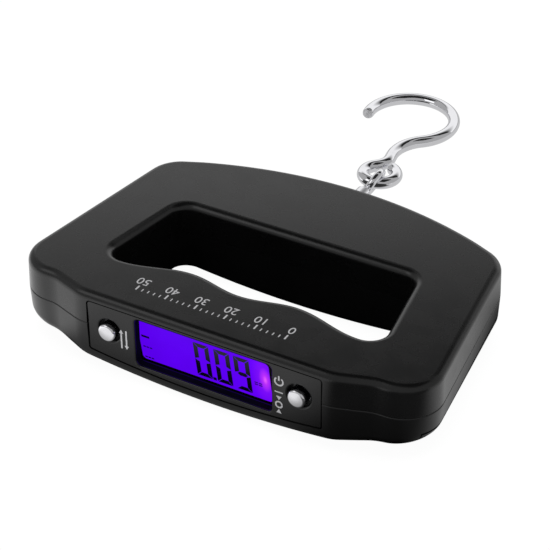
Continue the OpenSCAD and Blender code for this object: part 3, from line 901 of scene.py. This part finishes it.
def text_piece(name, words, size, x, y, turn):
    """A generic number of the dial, as thin raised ink on the top face."""
    curve = bpy.data.curves.new(name, "FONT")
    curve.body = words
    curve.size = size * MM
    curve.align_x = "CENTER"
    curve.extrude = INK / 2 * MM
    curve.resolution_u = 4
    holder = bpy.data.objects.new(name, curve)
    bpy.context.scene.collection.objects.link(holder)
    holder.matrix_world = (
        Matrix.Translation(Vector((x, y, TOP + INK / 2)) * MM) @ Matrix.Rotation(turn, 4, "Z")
    )
    bpy.context.view_layer.update()
    graph = bpy.context.evaluated_depsgraph_get()
    mesh = bpy.data.meshes.new_from_object(holder.evaluated_get(graph))
    mesh.transform(holder.matrix_world)
    bpy.data.objects.remove(holder)
    piece = bpy.data.objects.new(name, mesh)
    bpy.context.scene.collection.objects.link(piece)
    return piece


def on_top(x, y, out):
    """A point of the ink on the top face."""
    return Vector((x, y, TOP - 0.01 + out))


def scale_print():
    """A graduated scale from 0 to 50, read from the hook's side."""
    right, left, base, last = 22.0, -27.0, MID - 35.6, 50
    pitch = (left - right) / last
    ticks = []
    for k in range(0, last + 1, 2):
        x = right + pitch * k
        tall, thick = (2.1, 0.26) if k % 10 == 0 else (1.2, 0.17)
        ticks.append(bar(x - thick, base, x + thick, base + tall))
    marks = [flat_piece("ticks", ticks, on_top)]
    for k in range(0, last + 1, 10):
        marks.append(text_piece("number", str(k), 4.4, right + pitch * k, base + 5.9, math.pi))
    return join("scale_print", marks)


def on_panel(u, v, out):
    """A point of the ink on the display panel."""
    return Vector((u, PANEL_Y + 0.01 - out, v))


def unit_icon():
    """Two opposed arrows, for changing the unit."""
    shapes = []
    mid_z, reach, stem, head = TOP - 12.2, 3.3, 0.26, 0.72
    for x, way in ((-27.0, 1), (-25.3, -1)):
        tip, tail = mid_z + way * reach, mid_z - way * reach
        neck = mid_z + way * (reach - 1.3)
        shapes.append([(x, tip), (x - head, neck), (x - stem, neck), (x - stem, tail),
                       (x + stem, tail), (x + stem, neck), (x + head, neck)])
    return flat_piece("unit_icon", shapes, on_panel)


def arc_band(x, z, r, thick, start, end, count=24):
    """Outline of a curved band."""
    turns = [start + (end - start) * i / count for i in range(count + 1)]
    runs = ((r + thick / 2, turns), (r - thick / 2, reversed(turns)))
    return [(x + run * math.cos(a), z + run * math.sin(a)) for run, way in runs for a in way]


def bar(x0, z0, x1, z1):
    """Outline of a block between two corners."""
    return [(x0, z0), (x1, z0), (x1, z1), (x0, z1)]


def power_icon():
    """A standby sign, a rule and a return-to-zero sign."""
    x = 25.0
    on_z, zero_z = TOP - 8.0, TOP - 16.0
    gap, slit, line = math.radians(38), math.radians(2), 0.5
    shapes = [
        arc_band(x, on_z, 1.3, line, math.pi / 2 + gap, math.pi * 2.5 - gap),
        bar(x - line / 2, on_z + 0.25, x + line / 2, on_z + 1.85),
        bar(x - 1.3, TOP - 11.9, x + 1.3, TOP - 11.5),
        arc_band(x, zero_z, 1.0, line, slit, math.pi - slit),
        arc_band(x, zero_z, 1.0, line, math.pi + slit, math.pi * 2 - slit),
    ]
    for way in (-1, 1):
        tip, base = zero_z + way * 1.6, zero_z + way * 2.9
        shapes.append([(x, tip), (x - 0.85, base), (x + 0.85, base)])
    return flat_piece("power_icon", shapes, on_panel)


# ---------------------------------------------------------------- the pieces
dress(front_cover(), shell_black, "body", "shell_top", "front_shell")
dress(rear_cover(), rear_black, "body", "shell_bottom", "rear_shell")
DOORS = (("left_door", -1, "left_battery_door"), ("right_door", 1, "right_battery_door"))
for name, side, node in DOORS:
    dress(battery_door(name, side), rear_black, node, "shell_bottom", node)
dress(panel_face(), panel_black, "body", "panel", "display_panel")
CAPS = (("unit_cap", -BUTTON_X, "unit_button"), ("power_cap", BUTTON_X, "power_button"))
for name, x, node in CAPS:
    dress(button_cap(name, x), cap_chrome, node, "button_chrome", node)
dress(wire_hook(), chrome, "hook", "plated_steel", "hook")
dress(ring_bolt(), chrome, "eye_bolt", "plated_steel", "eye_bolt")
dress(display_glass(), lit_glass(), "body", "display", "lcd_glass")
dress(display_marks(), segment_black, "body", "display")
dress(ghost_marks(), ghost_violet, "body", "display")
dress(display_mask(), mask_and_shade_black, "body", "panel")
dress(scale_print(), white_ink, "body", "shell_top")
dress(unit_icon(), white_ink, "body", "panel")
dress(power_icon(), white_ink, "body", "panel")

# The CAD nodes that no piece stands for keep their meshes and get their slot's finish.
slot_of = {part["node"]: part["material_slot"] for part in frame["record"]["subparts"]}
for name, node in frame["nodes"].items():
    if node.hide_render:
        continue
    node.data.materials.clear()
    node.data.materials.append(SLOT_FINISH[slot_of[name]])
    node.data.shade_smooth()
    weld = node.modifiers.new("weld", "WELD")
    weld.merge_threshold = 0.001 * MM
    crease = node.modifiers.new("crease", "EDGE_SPLIT")
    crease.split_angle = math.radians(32)


# ---------------------------------------------------------------- studio
def plane(name, x, y, z):
    """A sheet between two limits of x, whose (y, z) runs from one edge to the other."""
    corners = [(x[0], y[0], z[0]), (x[1], y[0], z[0]), (x[1], y[1], z[1]), (x[0], y[1], z[1])]
    mesh = bpy.data.meshes.new(name)
    mesh.from_pydata([Vector(c) * MM for c in corners], [], [(0, 1, 2, 3)])
    card = bpy.data.objects.new(name, mesh)
    bpy.context.scene.collection.objects.link(card)
    return card


def math_node(tree, operation, a, b=0.0):
    """The result of a sum of two numbers or sockets."""
    node = add(tree, "ShaderNodeMath", operation=operation)
    for socket, value in zip(node.inputs, (a, b)):
        if isinstance(value, (int, float)):
            socket.default_value = value
        else:
            tree.links.new(value, socket)
    return node.outputs[0]


def step(tree, value, low, high, result_low=0.0, result_high=1.0):
    """A smooth step between two values."""
    return map_range(
        tree, value, low, high, result_low, result_high, interpolation_type="SMOOTHSTEP")


def glow_material(name, strength):
    """An emission material whose strength is built by a function of (tree, x, y, z) in mm."""
    mat, tree, bsdf = shader(name)
    tree.nodes.remove(bsdf)
    place = tree.nodes.new("ShaderNodeNewGeometry")
    scale = add(tree, "ShaderNodeVectorMath", operation="SCALE")
    scale.inputs["Scale"].default_value = 1 / MM
    split = tree.nodes.new("ShaderNodeSeparateXYZ")
    tree.links.new(place.outputs["Position"], scale.inputs[0])
    tree.links.new(scale.outputs["Vector"], split.inputs[0])
    glow = tree.nodes.new("ShaderNodeEmission")
    tree.links.new(strength(tree, *split.outputs), glow.inputs["Strength"])
    out = tree.nodes["Material Output"]
    tree.links.new(glow.outputs[0], out.inputs["Surface"])
    return mat


def card(name, x, y, z, strength):
    """A soft box or flag seen only in reflections."""
    piece = plane(name, x, y, z)
    piece.data.materials.append(glow_material(name, strength))
    piece.visible_camera = False
    piece.visible_shadow = False
    piece.visible_diffuse = False
    return piece


def back_glow(tree, x, y, z):
    """Brightest low down and to the left, fading towards the top right."""
    fall = math_node(tree, "MULTIPLY", math_node(tree, "SUBTRACT", 205, z), 0.0105)
    lean = math_node(tree, "MULTIPLY", math_node(tree, "ADD", x, 38), -0.0036)
    total = math_node(tree, "ADD", math_node(tree, "ADD", fall, lean), 0.22)
    return math_node(tree, "MINIMUM", math_node(tree, "MAXIMUM", total, 0.02), 1.0)


def even(level):
    """The same glow all over a card."""
    def strength(tree, x, y, z):
        return math_node(tree, "ADD", level)
    return strength


def floor_glow(tree, x, y, z):
    """What reflections see of the table: bright by the left side, dim by the right corner, with
    painted shadow just in front of the body and no glow under it.
    """
    # Painted shadow: the glow is dimmer close in front of the body.
    front = step(tree, y, MID - 46, MID - 68, 0.35, 1.0)
    across = step(tree, x, 16, 40, 0.85, 0.08)
    ahead = math_node(tree, "MULTIPLY", front, across)
    beside = step(tree, y, MID - 48, MID - 15, 0.1, 0.8)
    left = step(tree, x, -50, -64, 0.0, 1.0)
    right = step(tree, x, 60, 74, 0.0, 1.0)
    middle = math_node(tree, "SUBTRACT", math_node(tree, "SUBTRACT", 1.0, left), right)
    level = math_node(tree, "MULTIPLY", ahead, middle)
    # Painted shadow: no glow under the body.
    level = math_node(tree, "MULTIPLY", level, step(tree, y, MID - 40, MID - 46, 0.0, 1.0))
    level = math_node(tree, "ADD", level, math_node(tree, "MULTIPLY", left, 1.1))
    level = math_node(tree, "ADD", level, math_node(tree, "MULTIPLY", right, beside))
    behind = step(tree, y, MID + 40, MID + 60, 0.0, 1.0)
    rest = math_node(tree, "MULTIPLY", level, math_node(tree, "SUBTRACT", 1.0, behind))
    return math_node(tree, "ADD", rest, math_node(tree, "MULTIPLY", behind, 0.62))


def mix_shaders(tree, factor, first, second):
    """Two shaders mixed by a socket."""
    mix = tree.nodes.new("ShaderNodeMixShader")
    for socket, source in zip(mix.inputs, (factor, first, second)):
        tree.links.new(source, socket)
    return mix.outputs[0]


def studio_floor():
    """The floor: white to the camera with a faint painted contact shadow, its own glow to
    reflections, and clear from below.
    """
    half, down = 3000, -0.15
    floor = plane("floor", (-half, half), (-half, half), (down, down))
    mat = glow_material("pale_floor", floor_glow)
    tree = mat.node_tree
    seen = next(n for n in tree.nodes if n.type == "EMISSION")
    # Painted contact shadow: the white glow dims a little where ambient occlusion finds the body
    # close.
    shade = add(tree, "ShaderNodeAmbientOcclusion", Distance=14 * MM, samples=8)
    soft = step(tree, shade.outputs["AO"], 0.3, 0.85, 0.965, 1.02)
    white = tree.nodes.new("ShaderNodeEmission")
    tree.links.new(soft, white.inputs["Strength"])
    rays = tree.nodes.new("ShaderNodeLightPath")
    above = mix_shaders(tree, rays.outputs["Is Camera Ray"], seen.outputs[0], white.outputs[0])
    side = tree.nodes.new("ShaderNodeNewGeometry")
    clear = tree.nodes.new("ShaderNodeBsdfTransparent")
    both = mix_shaders(tree, side.outputs["Backfacing"], above, clear.outputs[0])
    tree.links.new(both, tree.nodes["Material Output"].inputs["Surface"])
    floor.data.materials.append(mat)


def studio_world():
    """White to the camera; a soft grey room to everything else."""
    world = bpy.data.worlds.new("studio")
    bpy.context.scene.world = world
    world.use_nodes = True
    tree = world.node_tree
    back = tree.nodes["Background"]
    rays = tree.nodes.new("ShaderNodeLightPath")
    level = step(tree, rays.outputs["Is Camera Ray"], 0, 1, 0.42, 1.02)
    tree.links.new(level, back.inputs["Strength"])
    back.inputs["Color"].default_value = (1, 1, 1, 1)


def studio():
    """The whole setting: world, floor, cards and one soft lamp."""
    studio_world()
    studio_floor()
    far, near = MID + 240, MID - 300
    card("back_card", (-430, 175), (far, far), (40, 330), back_glow)
    card("left_card", (-420, -130), (near, MID - 200), (220, 430), even(1.3))
    card("top_flag", (-220, 260), (MID - 140, MID + 150), (330, 330), even(0.02))
    lamp = bpy.data.lights.new("key", "AREA")
    lamp.size, lamp.energy = 0.5, 1.2
    key = bpy.data.objects.new("key", lamp)
    key.location = (-0.4, -0.5, 0.9)
    key.rotation_euler = (-key.location).to_track_quat("-Z", "Y").to_euler()
    key.visible_glossy = False
    key.visible_camera = False
    bpy.context.scene.collection.objects.link(key)


def camera():
    """The viewing angle: from the right front, above, with a long lens."""
    azimuth, elevation, roll = math.radians(29.806), math.radians(34.339), math.radians(-0.236)
    target = Vector((-1.01, MID - 0.48, 18.34)) * MM
    distance = 559.6 * MM
    back = Vector((
        math.sin(azimuth) * math.cos(elevation),
        -math.cos(azimuth) * math.cos(elevation),
        math.sin(elevation),
    ))
    level = Vector((math.cos(azimuth), math.sin(azimuth), 0))
    rise = back.cross(level)
    right = level * math.cos(roll) + rise * math.sin(roll)
    up = rise * math.cos(roll) - level * math.sin(roll)
    data = bpy.data.cameras.new("camera")
    data.sensor_width = 36
    data.lens = 123.45
    data.clip_start, data.clip_end = 0.01, 20
    eye = bpy.data.objects.new("camera", data)
    turn = Matrix((right, up, back)).transposed().to_4x4()
    eye.matrix_world = Matrix.Translation(target + back * distance) @ turn
    bpy.context.scene.collection.objects.link(eye)
    bpy.context.scene.camera = eye


studio()
camera()
bpy.context.scene.view_settings.view_transform = "Standard"
